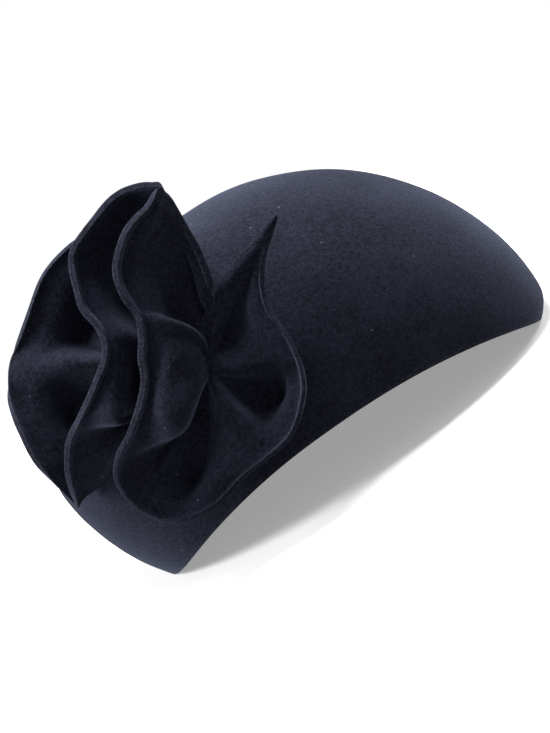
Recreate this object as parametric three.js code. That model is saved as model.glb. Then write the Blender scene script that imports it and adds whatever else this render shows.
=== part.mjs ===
// A blocked felt cocktail hat with a gathered felt flower on one side of its crown.
// Millimetres, +Z up. The hat stands on the two ends of its rim edge, at z = 0, and its long way
// is X. The origin is the centre of the whole hat's bounding box, on the plane that it rests on.
import * as THREE from 'three';

const crown = {
  halfLength: 112,
  halfWidth: 82,
  height: 121,
  leftWidest: 50, // level where the left end is widest: below it the felt draws in
  rightWidest: 10,
  leftInset: 17, // how far it draws in at the left end of the rim edge
  rightInset: 6,
  sideInset: 3,
  planPower: 2.3, // 2 would be an ellipse, more is fuller at the corners
  arch: 27, // rise of the rim edge in the middle of each long side
  restShare: 0.32, // share of the half width over which the rim edge lies flat
  archPower: 1.7,
  felt: 2.2,
  columns: 52,
  rows: 13,
};

const flower = {
  seatAngle: 248.5, // round the crown from +X, in degrees
  seatLevel: 71,
  felt: 2.8,
  gap: 0.6, // between two layers at the gather
  crownGap: 0.9, // between the crown and felt that rests on it, before its facets cut across
  gather: 1.5, // radius of the hole that the gathering thread closes
  lip: 1, // the cut edge stands up this far outside the felt that it curls from
  shelf: 0.5, // share of the way from lip to belly that stays high
  shelfDrop: 0.2,
  tip: { angle: 34, span: 14, from: 42, to: 62, share: 0.5 }, // felt pressed thinner in the pointed fold
  columnsPerRib: 2,
  rowsPerSpan: 2,
};

// A round is drawn by its ribs, each a fold or hollow that runs from the gather through its throat
// and belly to the cut edge. Each place is an angle in degrees from the hat's long way, a reach
// from the gather and a lift above the crown's tangent plane. curl is how high the edge stands up.
const frontRibs = [
  // throat angle, reach, lift, belly angle, reach, lift, edge angle, reach, lift, curl
  [350, 10, 7.5, 350, 22, 9.5, 351, 34, 15, 2],
  [12, 11, 4.5, 9, 23, 8.5, 7, 33, 15, 2],
  [32, 12, 2.5, 22, 28, 9, 21, 38, 15, 2],
  [42, 13, 2, 29, 38, 11, 29, 48, 15, 1.5],
  [46, 13, 2.5, 32, 45, 13, 32, 67, 15, 0],
  [48, 13, 4, 36, 42, 13.5, 34, 57, 16, 0.5],
  [51, 13, 5, 41, 34, 12.5, 39, 46, 15.5, 1],
  [56, 12, 6, 49, 25, 11.5, 48, 33, 14.5, 1],
  [60, 12, 7, 60, 16, 9, 61, 22, 11, 0.5],
  [63, 13, 2.5, 58, 22, 4, 50, 27, 14, 0.5],
  [64, 14, 3, 62, 26, 6, 53, 34, 19, 1.5],
  [65, 15, 3.5, 63, 32, 10, 58, 42, 21, 2],
  [66, 16, 5, 64, 40, 15, 63, 51, 24, 2],
  [67, 17, 7, 67, 46, 19, 67, 63, 27, 1],
  [68, 18, 8, 70, 48, 21, 70, 71, 29, 0],
  [69, 19, 9, 74, 48, 21.5, 75.5, 64, 31, 1.5],
  [70, 20, 10, 78, 46, 22, 85, 59, 33, 3],
  [71, 20, 10.5, 83, 40, 21.5, 98, 49, 33.5, 4],
  [72, 18, 9, 88, 30, 18, 104, 39, 33, 3.5],
  [73, 14, 8, 93, 23, 16, 107, 33, 31, 2.5],
  [67, 11, 15, 91, 20, 26.5, 109, 30, 30, 2],
  [97, 6, 17, 104, 14, 24.5, 122, 25, 28.5, 3.5],
  [128, 4, 17.5, 132, 11, 25, 140, 23, 27, 3.5],
  [160, 4, 17.5, 157, 14, 24.5, 159, 22, 26, 3.5],
  [190, 5, 17.5, 182, 19, 24, 175, 26, 25, 3.5],
  [208, 6, 17.5, 199, 23, 24, 185, 32, 24, 3.5],
  [216, 7, 17, 210, 25, 23, 190, 39, 21, 3],
  [219, 8, 15, 217, 26, 19.5, 191, 45, 18, 3],
  [209, 10, 7, 206, 27, 2, 193.5, 51, 14, 2.5],
  [205, 12, 2, 205, 34, 1, 198, 56, 11, 2],
  [207, 12, 1.8, 209, 42, 5, 207, 60, 8, 1.5],
  [209, 13, 1.5, 214, 43, 3, 217, 61, 6, 1],
  [213, 14, 1.2, 223, 44, -5, 224, 60, 6, 1],
  [222, 13, 1.5, 230, 44, -4.8, 230, 58, 6, 1],
  [238, 10, 4, 239, 35, 1, 239, 53, 6, 1],
  [250, 9, 8, 251, 31, 6, 252, 45, 7, 1.5],
  [262, 9, 11, 268, 25, 10.5, 267, 42, 8.5, 1],
  [277, 10, 5.5, 282, 29, 1.5, 283, 42, 10, 2],
  [289, 11, 2.5, 295, 30, -0.5, 295, 41.5, 12, 3],
  [303, 12, 2, 309, 31, -1.2, 310, 40, 15, 4],
  [317, 11, 3.5, 321, 29, 1.5, 322, 38, 15, 4],
  [326, 9, 8, 331, 25, 9, 334, 36, 15, 3],
];

const middleRibs = [
  // throat angle, reach, lift, belly angle, reach, lift, edge angle, reach, lift, curl
  [82, 16, 4.8, 71, 50, 3, 68, 63, 12, 0],
  [83, 16, 4.8, 73, 60, 0, 70, 73, 22, 1],
  [85, 16, 4.8, 77, 64, -4, 72.5, 74.5, 23, 2],
  [87, 16, 5, 82, 65, -7, 77, 76, 23, 3],
  [90, 16, 5.4, 88, 64, -8, 84, 76.5, 22, 3.5],
  [94, 17, 5.4, 93, 61, -7, 94, 73, 22, 3.5],
  [99, 18, 5.4, 98, 58, -6, 101, 71, 22, 3.5],
  [104, 19, 5.1, 103, 54, -4, 106, 69, 22, 3.5],
  [109, 20, 5.4, 107, 49, -1, 110, 65, 22, 3.5],
  [114, 22, 5.6, 112, 44, 4, 115, 59, 22, 3.5],
  [119, 24, 6.4, 117, 40, 11, 121, 53, 22, 3.5],
  [125, 25, 7.2, 124, 36, 17.5, 126, 44.5, 22, 3],
  [133, 27, 7.4, 133, 34, 17, 133, 40, 22, 3],
  [142, 29, 8, 143, 34, 17, 142, 39, 21, 3],
  [152, 30, 8, 153, 35, 17, 152, 42, 20, 3],
  [162, 31, 7.8, 163, 38, 16.5, 161, 47, 18, 2.5],
  [170, 30, 7.6, 172, 40, 16, 165, 51, 16, 2],
  [174, 28, 7.4, 178, 39, 14, 167.5, 54, 14, 2],
  [172, 20, 6, 174, 40, 2.8, 170.5, 59, 10, 2.5],
  [177, 18, 5.8, 178, 46, 0.6, 174, 64, 5, 3],
  [182, 16, 5.8, 182, 49, -0.7, 179, 69, 0, 3],
  [185, 16, 5.8, 186, 51, -3, 184, 73.5, -7, 2.5],
  [188, 16, 5.8, 188, 52, -4.5, 188, 77.5, -15, 0],
];

const backRibs = [
  // throat angle, reach, lift, belly angle, reach, lift, edge angle, reach, lift, curl
  [98, 30, -4, 98, 60, -14, 98, 78, -2, 0],
  [104, 30, -4, 104, 62, -16, 105, 81, -3, 1],
  [112, 30, -3.8, 114, 62, -18, 116, 83, -4, 1],
  [122, 30, -3.4, 124, 60, -18.5, 127, 82, -5, 1],
  [131, 30, -3, 133, 59, -17, 135, 83, -6, 1],
  [138, 30, -2.6, 140, 60, -3.5, 141, 85, -7, 0],
  [144, 30, -2.6, 146, 60, -6, 147, 85, -5, 0],
  [151, 30, -2.6, 153, 60, -12, 153, 84.5, -3, 1],
  [160, 30, -2.4, 162, 62, -17, 161, 82, -1, 2],
  [169, 30, -2.1, 171, 62, -16, 170, 80, -2, 2],
  [177, 30, -1.9, 178, 62, -16, 177, 79, -6, 1],
  [183, 30, -1.8, 182, 56, -10, 185, 79, -22, 0],
];

const rad = THREE.MathUtils.degToRad;
const { clamp, lerp } = THREE.MathUtils;

function surfaceNormal(surface, u, v, around) {
  const step = 1e-4;
  const [u0, u1] = around ? [u - step, u + step] : [Math.max(u - step, 0), Math.min(u + step, 1)];
  const [v0, v1] = [Math.max(v - step, 0), Math.min(v + step, 1)];
  const along = surface(u1, v).sub(surface(u0, v));
  const across = surface(u, v1).sub(surface(u, v0));
  return along.cross(across).normalize();
}

function signedVolume(points, index) {
  let sum = 0;
  for (let i = 0; i < index.length; i += 3) {
    const [a, b, c] = [points[index[i]], points[index[i + 1]], points[index[i + 2]]];
    sum += a.dot(b.clone().cross(c)) / 6;
  }
  return sum;
}

// A closed felt wall. faces(u, v) gives its two faces' points, u along the edge from 0 to 1 and
// v from 0 at one end to 1 at the other. around joins its columns in a ring. pole is the value
// of v, 0 or 1, at which a ring closes in one point, and the other end is the cut edge.
function feltWall(faces, { columns, rows, around = false, pole = null }) {
  const count = around ? columns : columns + 1;
  const layers = [[], []];
  for (let row = 0; row <= rows; row++) {
    for (let column = 0; column < count; column++) {
      faces(column / columns, row / rows).forEach((point, face) => layers[face].push(point));
    }
  }
  const poleRow = pole === 1 ? rows : 0;
  const points = [...layers[0], ...layers[1]];
  const at = (face, row, column) => face * layers[0].length + row * count + (column % count);
  const index = [];
  const quad = (a, b, c, d) => index.push(a, b, c, a, c, d);
  for (let column = 0; column < columns; column++) {
    for (let row = 0; row < rows; row++) {
      quad(at(0, row, column), at(0, row, column + 1), at(0, row + 1, column + 1), at(0, row + 1, column));
      quad(at(1, row, column), at(1, row + 1, column), at(1, row + 1, column + 1), at(1, row, column + 1));
    }
    for (const row of [0, rows]) {
      const rim = [at(0, row, column), at(1, row, column), at(1, row, column + 1), at(0, row, column + 1)];
      if (pole === null || row !== poleRow) quad(...(row === 0 ? rim : rim.reverse()));
    }
  }
  if (pole !== null) {
    for (const face of [0, 1]) {
      const ring = layers[face].slice(poleRow * count, (poleRow + 1) * count);
      const tip = points.length;
      points.push(ring.reduce((sum, point) => sum.add(point), new THREE.Vector3()).divideScalar(count));
      for (let column = 0; column < columns; column++) {
        const pair = [at(face, poleRow, column), at(face, poleRow, column + 1)];
        index.push(tip, ...(face === pole ? pair.reverse() : pair));
      }
    }
  }
  if (!around) {
    for (let row = 0; row < rows; row++) {
      quad(at(0, row, 0), at(0, row + 1, 0), at(1, row + 1, 0), at(1, row, 0));
      quad(at(0, row + 1, columns), at(0, row, columns), at(1, row, columns), at(1, row + 1, columns));
    }
  }
  if (signedVolume(points, index) < 0) index.reverse();
  const geometry = new THREE.BufferGeometry().setFromPoints(points);
  geometry.setIndex(index);
  geometry.computeVertexNormals();
  return geometry;
}

// The crown: its plan at one level, the height of its rim edge, and its outer surface

function planReach(angle, halfLength, halfWidth) {
  const along = Math.abs(Math.cos(angle)) / halfLength;
  const across = Math.abs(Math.sin(angle)) / halfWidth;
  return (along ** crown.planPower + across ** crown.planPower) ** (-1 / crown.planPower);
}

// The plan's half length and half width at a share of the full draw-in towards the rim edge
function planSize(angle, drawIn) {
  const toRight = (1 + Math.cos(angle)) / 2;
  const endInset = lerp(crown.leftInset, crown.rightInset, toRight);
  return [crown.halfLength - endInset * drawIn, crown.halfWidth - crown.sideInset * drawIn];
}

function rimLevel(angle) {
  const [halfLength, halfWidth] = planSize(angle, 1);
  const share = Math.abs(planReach(angle, halfLength, halfWidth) * Math.sin(angle)) / halfWidth;
  return crown.arch * clamp((share - crown.restShare) / (1 - crown.restShare), 0, 1) ** crown.archPower;
}

function crownPoint(angle, level) {
  const widest = lerp(crown.leftWidest, crown.rightWidest, (1 + Math.cos(angle)) / 2);
  const drawIn = clamp((widest - level) / widest, 0, 1) ** 2;
  const above = clamp((level - widest) / (crown.height - widest), 0, 1);
  const reach = planReach(angle, ...planSize(angle, drawIn)) * Math.sqrt(1 - above ** 2);
  return new THREE.Vector3(reach * Math.cos(angle), reach * Math.sin(angle), level);
}

function crownOuter(u, v) {
  const angle = u * 2 * Math.PI;
  const rim = rimLevel(angle);
  const topShare = 0.992; // the last ring lies just under the top point
  return crownPoint(angle, rim + (crown.height - rim) * Math.sin(v * topShare * Math.PI / 2));
}

function crownFaces(u, v) {
  const outer = crownOuter(u, v);
  const inward = surfaceNormal(crownOuter, u, v, true).negate();
  if (v === 0) inward.setZ(0).normalize(); // the rim edge is cut level
  return [outer, outer.clone().addScaledVector(inward, crown.felt)];
}

// The flower's rounds, in its own frame: +Z away from the crown, +X the hat's long way

const seatAngle = rad(flower.seatAngle);
const seatPoint = crownPoint(seatAngle, flower.seatLevel);
const nextRound = crownPoint(seatAngle + 1e-3, flower.seatLevel).sub(seatPoint);
const nextUp = crownPoint(seatAngle, flower.seatLevel + 1e-1).sub(seatPoint);
const outward = nextRound.cross(nextUp).normalize();
const acrossHat = new THREE.Vector3(0, 0, 1).cross(outward).normalize();
const upHat = outward.clone().cross(acrossHat);
const seatPlace = new THREE.Matrix4().makeBasis(acrossHat, upHat, outward).setPosition(seatPoint);

function polar(angle, reach, lift) {
  return new THREE.Vector3(reach * Math.cos(rad(angle)), reach * Math.sin(rad(angle)), lift);
}

// A rib's places in order, from the gather to the cut edge
function ribPlaces(rib, seat) {
  const gather = polar(rib[0], flower.gather, seat);
  const throat = polar(rib[0], rib[1], rib[2]);
  const belly = polar(rib[3], rib[4], rib[5]);
  const edge = polar(rib[6], rib[7], rib[8]);
  const inward = belly.clone().sub(edge).setZ(0).setLength(flower.lip);
  const lip = edge.clone().add(inward).setZ(edge.z - rib[9]);
  const shelf = lip.clone().lerp(belly, flower.shelf).setZ(lerp(lip.z, belly.z, flower.shelfDrop));
  return [gather, throat, belly, shelf, lip, edge];
}

function feltRound(ribs, layer, around) {
  const seat = flower.crownGap + flower.felt / 2 + layer * (flower.felt + flower.gap);
  const places = ribs.map((rib) => ribPlaces(rib, seat));
  const lines = places[0].map((_, i) => new THREE.CatmullRomCurve3(
    places.map((rib) => rib[i]), around, 'catmullrom', 0.5));
  return (u, v) => {
    const section = lines.map((line) => line.getPoint(around ? (u + 1) % 1 : u));
    return restOnCrown(new THREE.CatmullRomCurve3(section, false, 'chordal').getPoint(v));
  };
}

// The crown's lift under a place of the flower, found by halving
function crownLift(x, y) {
  let [inside, outside] = [-60, 4];
  for (let step = 0; step < 20; step++) {
    const lift = (inside + outside) / 2;
    const spot = new THREE.Vector3(x, y, lift).applyMatrix4(seatPlace);
    const wall = crownPoint(Math.atan2(spot.y, spot.x), spot.z);
    if (spot.z < crown.height && Math.hypot(spot.x, spot.y) < Math.hypot(wall.x, wall.y)) inside = lift;
    else outside = lift;
  }
  return inside;
}

// Felt that would sink into the crown rests on it instead
function restOnCrown(point) {
  const lift = crownLift(point.x, point.y);
  const slope = Math.hypot(crownLift(point.x + 1, point.y) - lift, crownLift(point.x, point.y + 1) - lift);
  const clear = (flower.felt / 2 + flower.crownGap) * Math.hypot(1, Math.min(slope, 2));
  return point.setZ(Math.max(point.z, lift + clear));
}

function feltThickness(point) {
  const { angle, span, from, to, share } = flower.tip;
  const turn = Math.atan2(point.y, point.x) - rad(angle);
  const near = clamp((Math.hypot(point.x, point.y) - from) / (to - from), 0, 1);
  return flower.felt * (Math.abs(turn) < rad(span) ? 1 - share * near : 1);
}

function roundFaces(middle, around) {
  return (u, v) => {
    const point = middle(u, v);
    const half = surfaceNormal(middle, u, v, around).multiplyScalar(feltThickness(point) / 2);
    return [point.clone().add(half), point.clone().sub(half)];
  };
}

function flowerRound(name, ribs, { layer, color, around = false }) {
  const middle = feltRound(ribs, layer, around);
  const columns = (around ? ribs.length : ribs.length - 1) * flower.columnsPerRib;
  const rows = 5 * flower.rowsPerSpan;
  const geometry = feltWall(roundFaces(middle, around), { columns, rows, around, pole: around ? 0 : null });
  return named(name, geometry, color);
}

function named(name, geometry, color) {
  const material = new THREE.MeshStandardMaterial({ color, roughness: 0.95, metalness: 0 });
  const mesh = new THREE.Mesh(geometry, material);
  mesh.name = name;
  return mesh;
}

const fascinator = new THREE.Group();
fascinator.add(named('crown', feltWall(crownFaces, { ...crown, around: true, pole: 1 }), 0x20212c));

const bloom = new THREE.Group();
bloom.applyMatrix4(seatPlace);
bloom.add(flowerRound('back_petal', backRibs, { layer: 0, color: 0x1a1b26 }));
bloom.add(flowerRound('middle_ruffle', middleRibs, { layer: 1, color: 0x1d1e29 }));
bloom.add(flowerRound('front_ruffle', frontRibs, { layer: 2, color: 0x20212c, around: true }));
fascinator.add(bloom);

const middleOfBox = new THREE.Box3().setFromObject(fascinator, true).getCenter(new THREE.Vector3());
for (const piece of [...fascinator.children]) piece.position.sub(middleOfBox.clone().setZ(0));

export default fascinator;
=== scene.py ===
import math

import bpy
import numpy as np
from mathutils import Matrix, Vector, noise


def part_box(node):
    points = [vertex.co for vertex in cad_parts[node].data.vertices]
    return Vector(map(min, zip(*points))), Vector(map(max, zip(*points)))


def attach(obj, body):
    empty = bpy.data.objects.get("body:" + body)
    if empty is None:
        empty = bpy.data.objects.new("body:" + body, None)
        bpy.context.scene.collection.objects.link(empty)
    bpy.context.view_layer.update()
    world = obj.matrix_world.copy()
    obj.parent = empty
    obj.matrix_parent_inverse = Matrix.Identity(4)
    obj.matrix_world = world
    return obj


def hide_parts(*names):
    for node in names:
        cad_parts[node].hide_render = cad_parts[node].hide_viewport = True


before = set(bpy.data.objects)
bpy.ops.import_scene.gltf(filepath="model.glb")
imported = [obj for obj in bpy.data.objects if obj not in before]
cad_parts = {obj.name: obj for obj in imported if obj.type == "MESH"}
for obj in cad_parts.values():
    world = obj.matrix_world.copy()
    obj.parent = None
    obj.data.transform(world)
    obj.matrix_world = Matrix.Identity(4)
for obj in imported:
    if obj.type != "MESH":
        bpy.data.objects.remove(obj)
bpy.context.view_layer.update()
crownLow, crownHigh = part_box("crown")
crownCentre = Vector(((crownLow.x + crownHigh.x) / 2, (crownLow.y + crownHigh.y) / 2, 0))
mm = 0.001


cameraView = {
    "lens": 85,
    "sensorHeight": 36,
    "azimuth": -2,  # degrees round the hat, 0 looks along +Y
    "elevation": 12,
    "roll": 34.4,  # the hat is tipped up towards its plain end
    "distance": 0.7615,
    "clipStart": 0.01,
    "aim": Vector((-0.0044, 0, 0.0434)),  # from the middle of the crown's base
}


def addCamera(view):
    azimuth, elevation = math.radians(view["azimuth"]), math.radians(view["elevation"])
    level = Vector((math.sin(azimuth), -math.cos(azimuth), 0))
    back = level * math.cos(elevation) + Vector((0, 0, math.sin(elevation)))
    bpy.ops.object.camera_add()
    camera = bpy.context.object
    camera.name = "camera"
    camera.data.lens = view["lens"]
    camera.data.sensor_fit = "VERTICAL"
    camera.data.sensor_height = view["sensorHeight"]
    camera.data.clip_start = view["clipStart"]
    facing = back.to_track_quat("Z", "Y").to_matrix().to_4x4()
    roll = Matrix.Rotation(-math.radians(view["roll"]), 4, "Z")
    place = crownCentre + view["aim"] + back * view["distance"]
    camera.matrix_world = Matrix.Translation(place) @ facing @ roll
    bpy.context.scene.camera = camera


studio = {
    "sky": 0.27,  # the room's own dim light
    "key": {"place": (-1.3, 0.1, 0.75), "size": 0.7, "power": 24},
    "top": {"place": (0.1, 0.15, 1.6), "size": 0.9, "power": 38},
    "rim": {"place": (1.2, 0.55, 0.7), "size": 0.7, "power": 13},
    "aim": Vector((0, 0, 0.06)),  # where all three lamps point
    "floorRadius": 1.6,
    "paper": (0.9, 0.9, 0.9, 1),
    "paperRoughness": 0.9,
    "glow": 0.32,  # the paper is lit a little from beneath, which softens the shadow
    "clearFrom": 0.3,  # the paper starts to melt into the white backdrop this far out
    "clearTo": 0.9,
}


def addSoftbox(name, place, size, power):
    bpy.ops.object.light_add(type="AREA", location=place)
    lamp = bpy.context.object
    lamp.name = name
    lamp.data.shape = "DISK"
    lamp.data.size = size
    lamp.data.energy = power
    lamp.rotation_euler = (studio["aim"] - Vector(place)).to_track_quat("-Z", "Y").to_euler()


def addBackdrop(sky):  # dim for the light it gives, white where the camera looks past the floor
    world = bpy.data.worlds.new("paleStudio")
    world.use_nodes = True
    tree = world.node_tree
    dim = tree.nodes["Background"]
    dim.inputs["Color"].default_value = (1, 1, 1, 1)
    dim.inputs["Strength"].default_value = sky
    white = tree.nodes.new("ShaderNodeBackground")
    white.inputs["Color"].default_value = (1, 1, 1, 1)
    seen = tree.nodes.new("ShaderNodeLightPath")
    either = tree.nodes.new("ShaderNodeMixShader")
    tree.links.new(seen.outputs["Is Camera Ray"], either.inputs[0])
    tree.links.new(dim.outputs[0], either.inputs[1])
    tree.links.new(white.outputs[0], either.inputs[2])
    tree.links.new(either.outputs[0], tree.nodes["World Output"].inputs["Surface"])
    bpy.context.scene.world = world


def addFloor():
    bpy.ops.mesh.primitive_circle_add(vertices=96, radius=studio["floorRadius"], fill_type="NGON")
    floor = bpy.context.object
    floor.name = "floor"
    paper = bpy.data.materials.new("palePaper")
    paper.use_nodes = True
    tree = paper.node_tree
    shader = tree.nodes["Principled BSDF"]
    shader.inputs["Base Color"].default_value = studio["paper"]
    shader.inputs["Roughness"].default_value = studio["paperRoughness"]
    place = tree.nodes.new("ShaderNodeTexCoord")
    reach = tree.nodes.new("ShaderNodeVectorMath")
    reach.operation = "LENGTH"
    tree.links.new(place.outputs["Object"], reach.inputs[0])
    fade = tree.nodes.new("ShaderNodeMapRange")
    fade.interpolation_type = "SMOOTHSTEP"
    fade.inputs["From Min"].default_value = studio["clearFrom"]
    fade.inputs["From Max"].default_value = studio["clearTo"]
    fade.inputs["To Min"].default_value = 1
    fade.inputs["To Max"].default_value = 0
    tree.links.new(reach.outputs["Value"], fade.inputs["Value"])
    tree.links.new(fade.outputs["Result"], shader.inputs["Alpha"])
    shader.inputs["Emission Color"].default_value = (1, 1, 1, 1)
    shader.inputs["Emission Strength"].default_value = studio["glow"]
    floor.data.materials.append(paper)
    floor.visible_diffuse = False  # the paper throws no light back up into the folds


bpy.ops.object.select_all(action="DESELECT")
bpy.context.scene.view_settings.view_transform = "Standard"
addCamera(cameraView)
addBackdrop(studio["sky"])
for lampName in ("key", "top", "rim"):
    addSoftbox(lampName, **studio[lampName])
addFloor()
print("camera, lights and floor")


feltLook = {
    "dark": (0.0018, 0.0020, 0.0056),
    "light": (0.0215, 0.0233, 0.0425),
    "darkAt": 0.50,  # levels of the grain that show wholly dark and wholly light
    "lightAt": 0.70,
    "fuzz": {"scale": 1300, "detail": 2, "roughness": 0.8},
    "fibres": {"scale": 520, "detail": 4, "roughness": 0.7},
    "clouds": {"scale": 45, "detail": 3, "roughness": 0.55},
    "fuzzShare": 0.55,  # of the grain, and the rest is fibres
    "cloudShare": 0.2,
    "cut": (0.0480, 0.0515, 0.0740),  # painted highlight where light catches a cut edge
    "highlightFrom": 0.42,  # levels of the fuzz noise over which the painted highlight comes in, so it is broken up
    "frayTo": 0.66,
    "lint": (0.16, 0.17, 0.20),
    "lintPlaces": 150,  # to a metre
    "lintSize": 0.05,
    "lintAbove": 0.55,  # places that draw a number below this stay clean
    "bumpDepth": 0.5 * mm,
    "roughness": 0.95,
    "specular": 0.15,
    "sheen": 0.28,
    "sheenRoughness": 0.45,
    "sheenTint": (0.38, 0.44, 0.66),
}


def noiseNode(tree, place, scale, detail, roughness):
    node = tree.nodes.new("ShaderNodeTexNoise")
    node.inputs["Scale"].default_value = scale
    node.inputs["Detail"].default_value = detail
    node.inputs["Roughness"].default_value = roughness
    tree.links.new(place, node.inputs["Vector"])
    return node.outputs["Fac"]


def mathNode(tree, operation, *values):  # each value is a number or another node's output
    node = tree.nodes.new("ShaderNodeMath")
    node.operation = operation
    for socket, value in zip(node.inputs, values):
        if isinstance(value, (int, float)):
            socket.default_value = value
        else:
            tree.links.new(value, socket)
    return node.outputs["Value"]


def paintOver(tree, under, colour, share):
    node = tree.nodes.new("ShaderNodeMix")
    node.data_type = "RGBA"
    node.inputs[7].default_value = (*colour, 1)
    tree.links.new(share, node.inputs[0])
    tree.links.new(under, node.inputs[6])
    return node.outputs[2]


def feltColour(tree, tone, look):
    ramp = tree.nodes.new("ShaderNodeValToRGB")
    dark, light = ramp.color_ramp.elements
    dark.position = look["darkAt"]
    dark.color = (*look["dark"], 1)
    light.position = look["lightAt"]
    light.color = (*look["light"], 1)
    tree.links.new(tone, ramp.inputs["Fac"])
    return ramp.outputs["Color"]


# the share of painted highlight along a cut edge, broken up by the fuzz noise
def cutHighlightShare(tree, fuzz, look):
    highlightBreakup = tree.nodes.new("ShaderNodeMapRange")
    highlightBreakup.interpolation_type = "SMOOTHSTEP"
    highlightBreakup.inputs["From Min"].default_value = look["highlightFrom"]
    highlightBreakup.inputs["From Max"].default_value = look["frayTo"]
    tree.links.new(fuzz, highlightBreakup.inputs["Value"])
    cutEdge = tree.nodes.new("ShaderNodeAttribute")
    cutEdge.attribute_name = "cutEdge"
    return mathNode(tree, "MULTIPLY", cutEdge.outputs["Fac"], highlightBreakup.outputs["Result"])


def lintShare(tree, place, look):
    specks = tree.nodes.new("ShaderNodeTexVoronoi")
    specks.inputs["Scale"].default_value = look["lintPlaces"]
    tree.links.new(place, specks.inputs["Vector"])
    draw = tree.nodes.new("ShaderNodeSeparateColor")
    tree.links.new(specks.outputs["Color"], draw.inputs["Color"])
    near = mathNode(tree, "LESS_THAN", specks.outputs["Distance"], look["lintSize"])
    rare = mathNode(tree, "GREATER_THAN", draw.outputs["Red"], look["lintAbove"])
    return mathNode(tree, "MULTIPLY", near, rare)


def feltMaterial(name, look):
    material = bpy.data.materials.new(name)
    material.use_nodes = True
    tree = material.node_tree
    shader = tree.nodes["Principled BSDF"]
    place = tree.nodes.new("ShaderNodeTexCoord").outputs["Object"]

    fuzz = noiseNode(tree, place, **look["fuzz"])
    fibres = noiseNode(tree, place, **look["fibres"])
    clouds = noiseNode(tree, place, **look["clouds"])
    fibrePart = mathNode(tree, "MULTIPLY", fibres, 1 - look["fuzzShare"])
    grain = mathNode(tree, "MULTIPLY_ADD", fuzz, look["fuzzShare"], fibrePart)
    tone = mathNode(tree, "MULTIPLY_ADD", clouds, look["cloudShare"], grain)

    colour = feltColour(tree, tone, look)
    # painted highlight along the cut edges
    colour = paintOver(tree, colour, look["cut"], cutHighlightShare(tree, fuzz, look))
    colour = paintOver(tree, colour, look["lint"], lintShare(tree, place, look))
    tree.links.new(colour, shader.inputs["Base Color"])

    bump = tree.nodes.new("ShaderNodeBump")
    bump.inputs["Strength"].default_value = 1.0
    bump.inputs["Distance"].default_value = look["bumpDepth"]
    tree.links.new(grain, bump.inputs["Height"])
    tree.links.new(bump.outputs["Normal"], shader.inputs["Normal"])
    shader.inputs["Roughness"].default_value = look["roughness"]
    shader.inputs["Specular IOR Level"].default_value = look["specular"]
    shader.inputs["Sheen Weight"].default_value = look["sheen"]
    shader.inputs["Sheen Roughness"].default_value = look["sheenRoughness"]
    shader.inputs["Sheen Tint"].default_value = (*look["sheenTint"], 1)
    return material


crownFelt = feltMaterial("crownFelt", feltLook)
flowerFelt = feltMaterial("flowerFelt", feltLook)
print("felt")


crownSizes = {
    "halfLength": 112 * mm,
    "halfWidth": 82 * mm,
    "height": 121 * mm,
    "leftWidest": 50 * mm,  # level where the flower's end is widest
    "rightWidest": 10 * mm,
    "leftInset": 17 * mm,  # how far the felt draws in below that
    "rightInset": 6 * mm,
    "sideInset": 3 * mm,
    "planPower": 2.3,  # 2 would be an ellipse, and more is boxier
    "arch": 27 * mm,  # rise of the rim edge along the long sides
    "restShare": 0.32,  # of the half width, where the edge lies level on the table
    "archPower": 1.7,
    "felt": 2.2 * mm,
    "wave": 30 * mm,  # size and depth of the felt's unevenness, which fades out near the rim
    "waveDepth": 0.5 * mm,
    "waveFade": 8 * mm,
    "rimBand": 1.3 * mm,  # points this close to the rim's level are brought onto it
    "rimHighlightHeight": 1.2 * mm,  # how far up from the rim the painted highlight along the cut edge reaches
    "columns": 192,
    "rings": 140,
    "smoothBelow": 50,  # degrees between two faces, past which their edge stays sharp
}


def clamp(value):
    return np.clip(value, 0.0, 1.0)


def lerp(a, b, share):
    return a + (b - a) * share


def planReach(angle, halfLength, halfWidth):
    power = crownSizes["planPower"]
    along = abs(np.cos(angle)) / halfLength
    across = abs(np.sin(angle)) / halfWidth
    return (along ** power + across ** power) ** (-1 / power)


def planSize(angle, drawIn):
    sizes = crownSizes
    toRight = (1 + np.cos(angle)) / 2
    inset = lerp(sizes["leftInset"], sizes["rightInset"], toRight)
    return sizes["halfLength"] - inset * drawIn, sizes["halfWidth"] - sizes["sideInset"] * drawIn


def rimLevel(angle):
    halfLength, halfWidth = planSize(angle, 1)
    share = abs(planReach(angle, halfLength, halfWidth) * np.sin(angle)) / halfWidth
    restShare = crownSizes["restShare"]
    return crownSizes["arch"] * clamp((share - restShare) / (1 - restShare)) ** crownSizes["archPower"]


def crownReach(angle, level):
    sizes = crownSizes
    widest = lerp(sizes["leftWidest"], sizes["rightWidest"], (1 + np.cos(angle)) / 2)
    drawIn = clamp((widest - level) / widest) ** 2
    above = clamp((level - widest) / (sizes["height"] - widest))
    return planReach(angle, *planSize(angle, drawIn)) * np.sqrt(1 - above ** 2)


def crownPoint(angle, level):
    reach = crownReach(angle, level)
    return Vector((reach * math.cos(angle), reach * math.sin(angle), level))


def blockedPoint(point, sizes):  # from a place on a half ball to its place on the crown
    angle = math.atan2(point.y, point.x)
    rim = rimLevel(angle)
    level = rim + (sizes["height"] - rim) * clamp(point.z)
    spot = crownPoint(angle, level)
    inward = Vector((-spot.x, -spot.y, -spot.z / 2)).normalized()
    wave = noise.noise(spot / sizes["wave"]) * sizes["waveDepth"]
    return spot + inward * wave * clamp((level - rim) / sizes["waveFade"])


# each point's share of painted highlight along a cut edge
def markCutHighlight(obj, values):
    attribute = obj.data.attributes.new("cutEdge", "FLOAT", "POINT")
    attribute.data.foreach_set("value", values)


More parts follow.
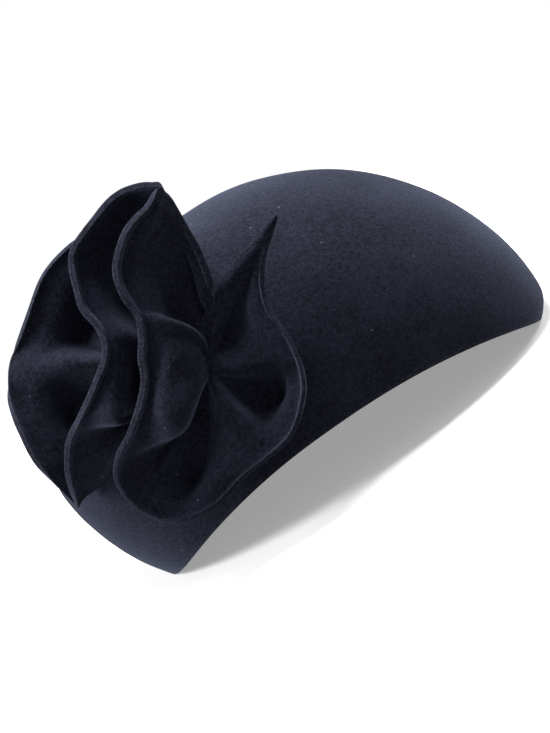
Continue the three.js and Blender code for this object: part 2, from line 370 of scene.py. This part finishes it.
def addCrown(sizes):
    bpy.ops.object.select_all(action="DESELECT")
    bpy.ops.mesh.primitive_uv_sphere_add(segments=sizes["columns"], ring_count=sizes["rings"], radius=1)
    crown = bpy.context.object
    crown.name = "crownFeltShell"
    bpy.ops.object.mode_set(mode="EDIT")
    bpy.ops.mesh.select_all(action="SELECT")
    bpy.ops.mesh.bisect(plane_co=(0, 0, 0), plane_no=(0, 0, 1), clear_inner=True)
    bpy.ops.object.mode_set(mode="OBJECT")
    for vertex in crown.data.vertices:
        vertex.co = blockedPoint(vertex.co, sizes)
    shell = crown.modifiers.new("shell", "SOLIDIFY")
    shell.thickness = sizes["felt"]
    shell.offset = -1
    bpy.ops.object.modifier_apply(modifier="shell")
    # painted highlight along the rim's cut edge, fading out above it
    cutTones = []
    for vertex in crown.data.vertices:
        rim = rimLevel(math.atan2(vertex.co.y, vertex.co.x))
        if abs(vertex.co.z - rim) < sizes["rimBand"]:
            vertex.co.z = rim
        cutTones.append(1 - clamp((vertex.co.z - rim) / sizes["rimHighlightHeight"]))
    crown.data.transform(Matrix.Translation(crownCentre))
    markCutHighlight(crown, cutTones)
    bpy.ops.object.shade_smooth_by_angle(angle=math.radians(sizes["smoothBelow"]))
    crown.data.materials.append(crownFelt)
    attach(crown, "root")
    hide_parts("crown")
    return crown


crown = addCrown(crownSizes)
print("crown")


# the flower is drawn in its own frame, in millimetres and degrees, with +Z away from the crown
flowerSizes = {
    "seatAngle": 248.5,  # round the crown
    "seatLevel": 71 * mm,
    "felt": 2.8,
    "gap": 0.6,  # between two layers at the gather
    "crownGap": 0.9,  # between the crown and felt that rests on it
    "gather": 1.5,  # radius at which the felt is drawn together
    "lip": 1.0,  # the cut edge stands up this far outside the felt that it curls from
    "shelf": 0.5,  # share of the way from lip to belly that stays high
    "shelfDrop": 0.2,
    "corner": 0.22,  # radius worn on the corners of a cut edge
    "cornerStart": 0.3,  # share of it that the row before the last has worn away
    "tip": {"angle": 34, "span": 14, "from": 42, "to": 62, "share": 0.5},  # where it folds to a point
    "thinEdgeAndShade": {  # where the cut edge is pulled thin, and where its painted highlight is dimmed as painted shade
        "middle": 290,
        "span": 110,
        "fade": 25,
        "share": 0.4,
        "within": 5,
        # how much of the painted highlight is taken off there, as painted shade
        "paintedShadeOnCut": 1.3,
    },
    "ripples": ((16, 0.5), (5, 0.14)),  # size and depth of the felt's unevenness
    "ease": 3,  # columns on each side over which a line's corners are eased
    "columnsPerRib": 9,
    "rows": 34,  # evenly spaced, up to evenEnd from the cut edge
    "evenEnd": 3.6,
    "closeRows": (2.6, 1.5, 0.9, 0.55),  # then rows at these distances from it
    "highlightWithin": 0.6,  # how far from the cut edge its painted highlight reaches
    "rimHighlights": (0.15, 0.0, 0.15),  # and how much painted highlight shows on the cut itself
    "smoothBelow": 60,
}


def flowerFrame(sizes):
    angle = math.radians(sizes["seatAngle"])
    turn, rise = 1e-3, 0.1 * mm  # small steps round the crown and up it
    seat = crownPoint(angle, sizes["seatLevel"])
    nextRound = crownPoint(angle + turn, sizes["seatLevel"]) - seat
    nextUp = crownPoint(angle, sizes["seatLevel"] + rise) - seat
    outward = nextRound.cross(nextUp).normalized()
    across = Vector((0, 0, 1)).cross(outward).normalized()
    upward = outward.cross(across)
    return Matrix.Translation(crownCentre + seat) @ Matrix((across, upward, outward)).transposed().to_4x4()


flowerPlace = flowerFrame(flowerSizes)


def crownLift(x, y, lowest=-60.0, highest=4.0, halvings=20):
    # the crown's level under places of the flower, in the flower's own frame, found by halving
    frameRows = np.array(Matrix.Translation(-crownCentre) @ flowerPlace)
    inside, outside = np.full(x.shape, lowest), np.full(x.shape, highest)
    for halving in range(halvings):
        lift = (inside + outside) / 2
        spot = np.stack([x * mm, y * mm, lift * mm, np.ones_like(x)], axis=-1) @ frameRows.T
        wall = crownReach(np.arctan2(spot[..., 1], spot[..., 0]), spot[..., 2])
        sunk = (np.hypot(spot[..., 0], spot[..., 1]) < wall) & (spot[..., 2] < crownSizes["height"])
        inside, outside = np.where(sunk, lift, inside), np.where(sunk, outside, lift)
    return inside


def restOnCrown(points, clear, steepest=2):  # felt that would sink into the crown rests on it instead
    x, y = points[..., 0], points[..., 1]
    lift = crownLift(x, y)
    slope = np.hypot(crownLift(x + 1, y) - lift, crownLift(x, y + 1) - lift)
    rested = points.copy()
    rested[..., 2] = np.maximum(points[..., 2], lift + clear * np.hypot(1, np.minimum(slope, steepest)))
    return rested


def splineThrough(points, knots, at):
    # a smooth curve through rows of points, each at its row of knots, read at rows of other places
    steps = np.diff(knots, axis=0)
    slopes = np.diff(points, axis=0) / steps[..., None]
    tangents = np.empty_like(points)
    tangents[0], tangents[-1] = slopes[0], slopes[-1]
    before, after = steps[:-1, ..., None], steps[1:, ..., None]
    tangents[1:-1] = (slopes[:-1] * after + slopes[1:] * before) / (before + after)
    result = np.zeros(at.shape + (3,))
    last = len(steps) - 1
    for i, step in enumerate(steps):
        t = (at - knots[i]) / step
        here = ((t >= 0) | (i == 0)) & ((t <= 1) | (i == last))
        t, step = t[..., None], step[..., None]
        curve = ((2 * t ** 3 - 3 * t ** 2 + 1) * points[i] + (t ** 3 - 2 * t ** 2 + t) * step * tangents[i]
                 + (-2 * t ** 3 + 3 * t ** 2) * points[i + 1] + (t ** 3 - t ** 2) * step * tangents[i + 1])
        result[here] = curve[here]
    return result


def alongRibs(points, count, closed):  # a smooth line from rib to rib
    if closed:
        padded = np.concatenate([points[-1:], points, points[:2]])
        at = np.arange(count) / count * len(points)
    else:
        padded = np.concatenate([2 * points[:1] - points[1:2], points, 2 * points[-1:] - points[-2:-1]])
        at = np.arange(count + 1) / count * (len(points) - 1)
    i = np.minimum(at.astype(int), len(padded) - 4)
    t = (at - i)[:, None]
    p0, p1, p2, p3 = (padded[i + k] for k in range(4))
    return 0.5 * (2 * p1 + (p2 - p0) * t + (2 * p0 - 5 * p1 + 4 * p2 - p3) * t ** 2
                  + (3 * p1 - p0 - 3 * p2 + p3) * t ** 3)


def eased(lines, reach, closed):  # a running mean along the columns, weighted towards the middle
    if closed:
        padded = np.concatenate([lines[:, -reach:], lines, lines[:, :reach]], axis=1)
    else:
        before = 2 * lines[:, :1] - lines[:, reach:0:-1]
        after = 2 * lines[:, -1:] - lines[:, -2:-reach - 2:-1]
        padded = np.concatenate([before, lines, after], axis=1)
    weights = 1 + reach - abs(np.arange(-reach, reach + 1))
    count = lines.shape[1]
    return sum(weight * padded[:, i:i + count] for i, weight in enumerate(weights)) / weights.sum()


def polar(angle, reach, lift):
    angle = np.radians(angle)
    return np.stack([reach * np.cos(angle), reach * np.sin(angle), lift], axis=-1)


def pressedTip(points, tip):  # the felt is pressed thinner where it folds to a point
    reach = np.hypot(points[..., 0], points[..., 1])
    turn = np.degrees(np.arctan2(points[..., 1], points[..., 0]))
    near = np.clip((reach - tip["from"]) / (tip["to"] - tip["from"]), 0, 1)
    return np.where(abs(turn - tip["angle"]) < tip["span"], 1 - tip["share"] * near, 1)


def upwards(grid, closed):  # the normals of a grid of points, on the side away from the crown
    if closed:
        wide = np.concatenate([grid[:, -1:], grid, grid[:, :1]], axis=1)
    else:
        before, after = 2 * grid[:, :1] - grid[:, 1:2], 2 * grid[:, -1:] - grid[:, -2:-1]
        wide = np.concatenate([before, grid, after], axis=1)
    normals = np.cross(wide[:, 2:] - wide[:, :-2], np.gradient(grid, axis=0))
    normals /= np.linalg.norm(normals, axis=-1, keepdims=True)
    return normals * np.sign(normals[..., 2].mean())


def thinAndShadedEdge(points, toEdge, thinEdgeAndShade):
    turn = np.degrees(np.arctan2(points[..., 1], points[..., 0])) - thinEdgeAndShade["middle"]
    turn = abs((turn + 180) % 360 - 180)
    side = np.clip((thinEdgeAndShade["span"] - turn) / thinEdgeAndShade["fade"], 0, 1)
    return thinEdgeAndShade["share"] * side * np.clip(1 - toEdge / thinEdgeAndShade["within"], 0, 1)


def ribLines(ribs, layer, sizes, closed):  # lines round the felt, from the gather out to the cut edge
    seat = sizes["crownGap"] + sizes["felt"] / 2 + layer * (sizes["felt"] + sizes["gap"])
    throat = polar(ribs[:, 0], ribs[:, 1], ribs[:, 2])
    belly = polar(ribs[:, 3], ribs[:, 4], ribs[:, 5])
    edge = polar(ribs[:, 6], ribs[:, 7], ribs[:, 8])
    curl = ribs[:, 9]
    gather = polar(ribs[:, 0], np.full(len(ribs), sizes["gather"]), np.full(len(ribs), seat))
    inward = belly[:, :2] - edge[:, :2]
    lip = edge.copy()
    lip[:, :2] += inward / np.linalg.norm(inward, axis=1, keepdims=True) * sizes["lip"]
    lip[:, 2] -= curl
    shelf = lip + (belly - lip) * np.array([sizes["shelf"], sizes["shelf"], sizes["shelfDrop"]])
    count = (len(ribs) if closed else len(ribs) - 1) * sizes["columnsPerRib"]
    lines = [alongRibs(line, count, closed) for line in (gather, throat, belly, shelf, lip, edge)]
    return eased(np.stack(lines), sizes["ease"], closed)


def feltMiddle(lines, sizes, closed):
    # rows and columns of points halfway through the felt, and how far each is from the cut edge
    spans = np.linalg.norm(np.diff(lines, axis=0), axis=-1)
    knots = np.concatenate([np.zeros((1, lines.shape[1])), np.cumsum(spans, axis=0)])
    length = knots[-1]
    even = np.linspace(0, 1, sizes["rows"])[:, None] * (length - sizes["evenEnd"])
    corner = sizes["corner"]
    close = np.array([*sizes["closeRows"], corner, corner * sizes["cornerStart"], 0])
    at = np.concatenate([even, length - close[:, None]])
    points = restOnCrown(splineThrough(lines, knots, at), sizes["felt"] / 2 + sizes["crownGap"])
    for size, depth in sizes["ripples"]:
        ripple = np.array([[noise.noise(Vector(place) / size) for place in row] for row in points])
        points = points + upwards(points, closed) * (ripple * depth)[..., None]
    return points, length - at


def skinFaces(rowCount, columns, closed):
    faces = []
    last = rowCount - 1
    for r in range(last):
        for c in range(columns if closed else columns - 1):
            d = (c + 1) % columns
            faces.append((r * columns + c, r * columns + d, (r + 1) * columns + d, (r + 1) * columns + c))
    if closed:  # the two points in the middle of the gather close it
        topPole = rowCount * columns
        underPole = topPole + 1
        for c in range(columns):
            d = (c + 1) % columns
            faces.append((topPole, d, c))
            faces.append((underPole, last * columns + c, last * columns + d))
        return faces
    for c in (0, columns - 1):  # a fan is closed at its two sides and along the gather
        for r in range(rowCount // 2):
            corners = [row * columns + c for row in (r, r + 1, last - r - 1, last - r)]
            side = tuple(dict.fromkeys(corners))
            faces.append(side if c == 0 else side[::-1])
    for c in range(columns - 1):
        faces.append((c + 1, c, last * columns + c, last * columns + c + 1))
    return faces


def addMesh(name, points, faces):
    mesh = bpy.data.meshes.new(name)
    mesh.from_pydata([flowerPlace @ (Vector(point) * mm) for point in points], [], faces)
    mesh.validate()
    felt = bpy.data.objects.new(name, mesh)
    bpy.context.collection.objects.link(felt)
    bpy.ops.object.select_all(action="DESELECT")
    felt.select_set(True)
    bpy.context.view_layer.objects.active = felt
    bpy.ops.object.mode_set(mode="EDIT")
    bpy.ops.mesh.select_all(action="SELECT")
    bpy.ops.mesh.normals_make_consistent(inside=False)
    bpy.ops.object.mode_set(mode="OBJECT")
    return felt


def feltRound(name, ribs, layer, sizes, closed=False):
    lines = ribLines(np.array(ribs, float), layer, sizes, closed)
    middle, toEdge = feltMiddle(lines, sizes, closed)
    thinEdgeAndShade = sizes["thinEdgeAndShade"]
    thinAndShaded = thinAndShadedEdge(middle, toEdge, thinEdgeAndShade) if closed else np.zeros_like(toEdge)
    half = np.full(toEdge.shape, sizes["felt"] / 2)
    half[-2] -= sizes["corner"] * sizes["cornerStart"]
    half[-1] -= sizes["corner"]
    half *= pressedTip(middle, sizes["tip"]) * (1 - thinAndShaded)
    outward = upwards(middle, closed) * half[..., None]
    top, under = middle + outward, middle - outward
    rim = [lerp(top[-1], under[-1], share) for share in (0.25, 0.5, 0.75)]
    rows = [*top, *rim, *under[::-1]]  # out along the top, over the cut edge, and back beneath
    points = np.concatenate(rows)
    # painted highlight along the cut edge, on the felt near it and on the cut
    nearEdgeHighlight = np.clip(1 - toEdge.mean(axis=1) / sizes["highlightWithin"], 0, 1)
    cut = [*nearEdgeHighlight, *sizes["rimHighlights"], *nearEdgeHighlight[::-1]]
    # painted shade: the cut edge's painted highlight is dimmed where the edge is pulled thin
    cutTones = np.outer(cut, 1 - thinEdgeAndShade["paintedShadeOnCut"] * thinAndShaded[-1]).ravel()
    if closed:
        points = np.concatenate([points, [rows[0].mean(axis=0), rows[-1].mean(axis=0)]])
        cutTones = np.append(cutTones, (0, 0))
    felt = addMesh(name, points, skinFaces(len(rows), middle.shape[1], closed))
    markCutHighlight(felt, cutTones)
    bpy.ops.object.shade_smooth_by_angle(angle=math.radians(sizes["smoothBelow"]))
    felt.data.materials.append(flowerFelt)
    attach(felt, "root")
    print(name, len(felt.data.polygons), "faces")
    return felt


frontRibs = [
    # throat angle, reach, lift, belly angle, reach, lift, edge angle, reach, lift, curl
    (350, 10, 7.5, 350, 22, 9.5, 351, 34, 15, 2),
    (12, 11, 4.5, 9, 23, 8.5, 7, 33, 15, 2),
    (32, 12, 2.5, 22, 28, 9.0, 21, 38, 15, 2),
    (42, 13, 2.0, 29, 38, 11.0, 29, 48, 15, 1.5),
    (46, 13, 2.5, 32, 45, 13.0, 32, 67, 15, 0),
    (48, 13, 4.0, 36, 42, 13.5, 34, 57, 16, 0.5),
    (51, 13, 5.0, 41, 34, 12.5, 39, 46, 15.5, 1),
    (56, 12, 6.0, 49, 25, 11.5, 48, 33, 14.5, 1),
    (60, 12, 7.0, 60, 16, 9.0, 61, 22, 11, 0.5),
    (63, 13, 2.5, 58, 22, 4.0, 50, 27, 14, 0.5),
    (64, 14, 3.0, 62, 26, 6.0, 53, 34, 19, 1.5),
    (65, 15, 3.5, 63, 32, 10.0, 58, 42, 21, 2),
    (66, 16, 5.0, 64, 40, 15.0, 63, 51, 24, 2),
    (67, 17, 7.0, 67, 46, 19.0, 67, 63, 27, 1),
    (68, 18, 8.0, 70, 48, 21.0, 70, 71, 29, 0),
    (69, 19, 9.0, 74, 48, 21.5, 75.5, 64, 31, 1.5),
    (70, 20, 10.0, 78, 46, 22.0, 85, 59, 33, 3),
    (71, 20, 10.5, 83, 40, 21.5, 98, 49, 33.5, 4),
    (72, 18, 9.0, 88, 30, 18.0, 104, 39, 33, 3.5),
    (73, 14, 8.0, 93, 23, 16.0, 107, 33, 31, 2.5),
    (67, 11, 15.0, 91, 20, 26.5, 109, 30, 30, 2),
    (79, 9, 12.0, 93, 15, 22.0, 115, 27, 29.5, 3),
    (97, 6, 17.0, 104, 14, 24.5, 122, 25, 28.5, 3.5),
    (128, 4, 17.5, 132, 11, 25.0, 140, 23, 27, 3.5),
    (160, 4, 17.5, 157, 14, 24.5, 159, 22, 26, 3.5),
    (190, 5, 17.5, 182, 19, 24.0, 175, 26, 25, 3.5),
    (208, 6, 17.5, 199, 23, 24.0, 185, 32, 24, 3.5),
    (216, 7, 17.0, 210, 25, 23.0, 190, 39, 21, 3),
    (219, 8, 15.0, 217, 26, 19.5, 191, 45, 18, 3),
    (209, 10, 7.0, 206, 27, 2.0, 193.5, 51, 14, 2.5),
    (205, 12, 2.0, 205, 34, 1.0, 198, 56, 11, 2),
    (207, 12, 1.8, 209, 42, 5.0, 207, 60, 8, 1.5),
    (209, 13, 1.5, 214, 43, 3.0, 217, 61, 6, 1),
    (213, 14, 1.2, 223, 44, -5.0, 224, 60, 6, 1),
    (222, 13, 1.5, 230, 44, -4.8, 230, 58, 6, 1),
    (238, 10, 4.0, 239, 35, 1.0, 239, 53, 6, 1),
    (250, 9, 8.0, 251, 31, 6.0, 252, 45, 7, 1.5),
    (262, 9, 11.0, 268, 25, 10.5, 267, 42, 8.5, 1),
    (277, 10, 5.5, 282, 29, 1.5, 283, 42, 10, 2),
    (289, 11, 2.5, 295, 30, -0.5, 295, 41.5, 12, 3),
    (303, 12, 2.0, 309, 31, -1.2, 310, 40, 15, 4),
    (317, 11, 3.5, 321, 29, 1.5, 322, 38, 15, 4),
    (326, 9, 8.0, 331, 25, 9.0, 334, 36, 15, 3),
]

front = feltRound("frontRuffle", frontRibs, 2, flowerSizes, closed=True)
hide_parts("front_ruffle")


middleRibs = [
    # throat angle, reach, lift, belly angle, reach, lift, edge angle, reach, lift, curl
    (82, 16, 4.8, 71, 50, 3.0, 68, 63, 12, 0),
    (83, 16, 4.8, 73, 60, 0.0, 70, 73, 22, 1),
    (85, 16, 4.8, 77, 64, -4, 72.5, 74.5, 23, 2),
    (87, 16, 5.0, 82, 65, -7, 77, 76, 23, 3),
    (90, 16, 5.4, 88, 64, -8, 84, 76.5, 22, 3.5),
    (94, 17, 5.4, 93, 61, -7, 94, 73, 22, 3.5),
    (99, 18, 5.4, 98, 58, -6, 101, 71, 22, 3.5),
    (104, 19, 5.1, 103, 54, -4, 106, 69, 22, 3.5),
    (109, 20, 5.4, 107, 49, -1, 110, 65, 22, 3.5),
    (114, 22, 5.6, 112, 44, 4, 115, 59, 22, 3.5),
    (119, 24, 6.4, 117, 40, 11, 121, 53, 22, 3.5),
    (125, 25, 7.2, 124, 36, 17.5, 126, 44.5, 22, 3),
    (133, 27, 7.4, 133, 34, 17.0, 133, 40, 22, 3),
    (142, 29, 8.0, 143, 34, 17.0, 142, 39, 21, 3),
    (152, 30, 8.0, 153, 35, 17.0, 152, 42, 20, 3),
    (162, 31, 7.8, 163, 38, 16.5, 161, 47, 18, 2.5),
    (170, 30, 7.6, 172, 40, 16.0, 165, 51, 16, 2),
    (174, 28, 7.4, 178, 39, 14.0, 167.5, 54, 14, 2),
    (172, 20, 6.0, 174, 40, 2.8, 170.5, 59, 10, 2.5),
    (177, 18, 5.8, 178, 46, 0.6, 174, 64, 5, 3),
    (182, 16, 5.8, 182, 49, -0.7, 179, 69, 0, 3),
    (185, 16, 5.8, 186, 51, -3.0, 184, 73.5, -7, 2.5),
    (188, 16, 5.8, 188, 52, -4.5, 188, 77.5, -15, 0),
]

middle = feltRound("middleRuffle", middleRibs, 1, flowerSizes)
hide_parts("middle_ruffle")


backRibs = [
    # throat angle, reach, lift, belly angle, reach, lift, edge angle, reach, lift, curl
    (98, 30, -4.0, 98, 60, -14, 98, 78, -2, 0),
    (104, 30, -4.0, 104, 62, -16, 105, 81, -3, 1),
    (112, 30, -3.8, 114, 62, -18, 116, 83, -4, 1),
    (122, 30, -3.4, 124, 60, -18.5, 127, 82, -5, 1),
    (131, 30, -3.0, 133, 59, -17, 135, 83, -6, 1),
    (138, 30, -2.6, 140, 60, -3.5, 141, 85, -7, 0),
    (144, 30, -2.6, 146, 60, -6, 147, 85, -5, 0),
    (151, 30, -2.6, 153, 60, -12, 153, 84.5, -3, 1),
    (160, 30, -2.4, 162, 62, -17, 161, 82, -1, 2),
    (169, 30, -2.1, 171, 62, -16, 170, 80, -2, 2),
    (177, 30, -1.9, 178, 62, -16, 177, 79, -6, 1),
    (183, 30, -1.8, 182, 56, -10, 185, 79, -22, 0),
]

back = feltRound("backPetal", backRibs, 0, flowerSizes)
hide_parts("back_petal")
